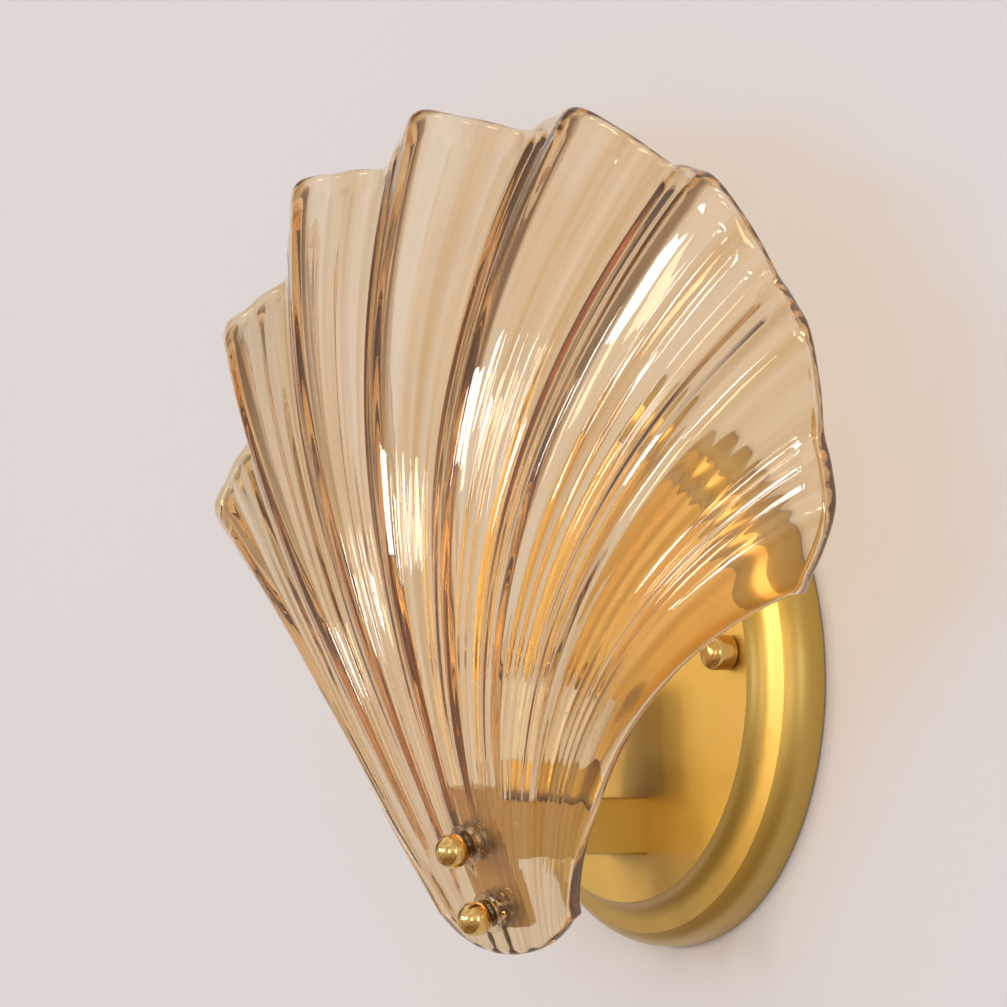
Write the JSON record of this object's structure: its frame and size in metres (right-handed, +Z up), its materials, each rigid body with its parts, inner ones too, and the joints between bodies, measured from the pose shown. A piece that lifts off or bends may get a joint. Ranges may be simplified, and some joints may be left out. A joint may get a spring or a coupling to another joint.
{
  "type": "shell wall sconce",
  "caption": "Wall sconce with a fluted scallop-shell glass shade clamped by ball nuts to a brass strap and arm, on a round stepped canopy, with a lampholder behind the shade.",
  "frame": {"origin": "centre of the canopy's back, on the wall", "axes": "+Y out of the fixture's back into the wall, the room on the -Y side; +Z up; +X to the right seen from the wall's room side looking at the wall"},
  "size_m": [0.318, 0.0889, 0.2388],
  "materials": {
    "shell_glass": "clear pale amber glass with pressed reeds and a fire-polished rim",
    "polished_brass": "polished and lacquered yellow brass",
    "plain_brass": "turned brass, unpolished",
    "zinc_steel": "zinc-plated pressed steel",
    "white_plastic": "moulded white heat-resistant thermoset",
    "clear_nylon": "natural translucent nylon"
  },
  "bodies": {
    "fixture": {"glass_shell": "shell_glass", "front_washers": "clear_nylon", "stud_sleeves": "clear_nylon", "back_washers": "clear_nylon", "upper_shade_stud": "plain_brass", "lower_shade_stud": "plain_brass", "strap_nut": "plain_brass", "shade_strap": "polished_brass", "arm": "polished_brass", "arm_screws": "zinc_steel", "wire_bushing": "clear_nylon", "canopy": "polished_brass", "crossbar": "zinc_steel", "crossbar_studs": "plain_brass", "stud_locknuts": "plain_brass", "earth_screw": "plain_brass", "earth_cup_washer": "plain_brass", "terminal_block": "white_plastic", "clamp_screws": "plain_brass", "block_screw": "zinc_steel", "holder_cup": "polished_brass", "holder_nipple": "zinc_steel", "nipple_nut": "zinc_steel", "holder_body": "white_plastic", "thread_sleeve": "plain_brass", "centre_contact": "plain_brass"},
    "upper_shade_nut": {"upper_shade_nut": "polished_brass"},
    "lower_shade_nut": {"lower_shade_nut": "polished_brass"},
    "left_canopy_nut": {"left_canopy_nut": "polished_brass"},
    "right_canopy_nut": {"right_canopy_nut": "polished_brass"}
  },
  "joints": [
    {"name": "upper_shade_nut_turn", "type": "hinge", "parent": "fixture", "child": "upper_shade_nut", "pos_m": [0, -0.07587, -0.04792], "axis": [0, -0.9314, -0.3641], "continuous": true},
    {"name": "lower_shade_nut_turn", "type": "hinge", "parent": "fixture", "child": "lower_shade_nut", "pos_m": [0, -0.06841, -0.06701], "axis": [0, -0.9314, -0.3641], "continuous": true},
    {"name": "left_canopy_nut_turn", "type": "hinge", "parent": "fixture", "child": "left_canopy_nut", "pos_m": [-0.054, -0.02225, 0.008], "axis": [0, -1, 0], "continuous": true},
    {"name": "right_canopy_nut_turn", "type": "hinge", "parent": "fixture", "child": "right_canopy_nut", "pos_m": [0.054, -0.02225, 0.008], "axis": [0, -1, 0], "continuous": true}
  ]
}
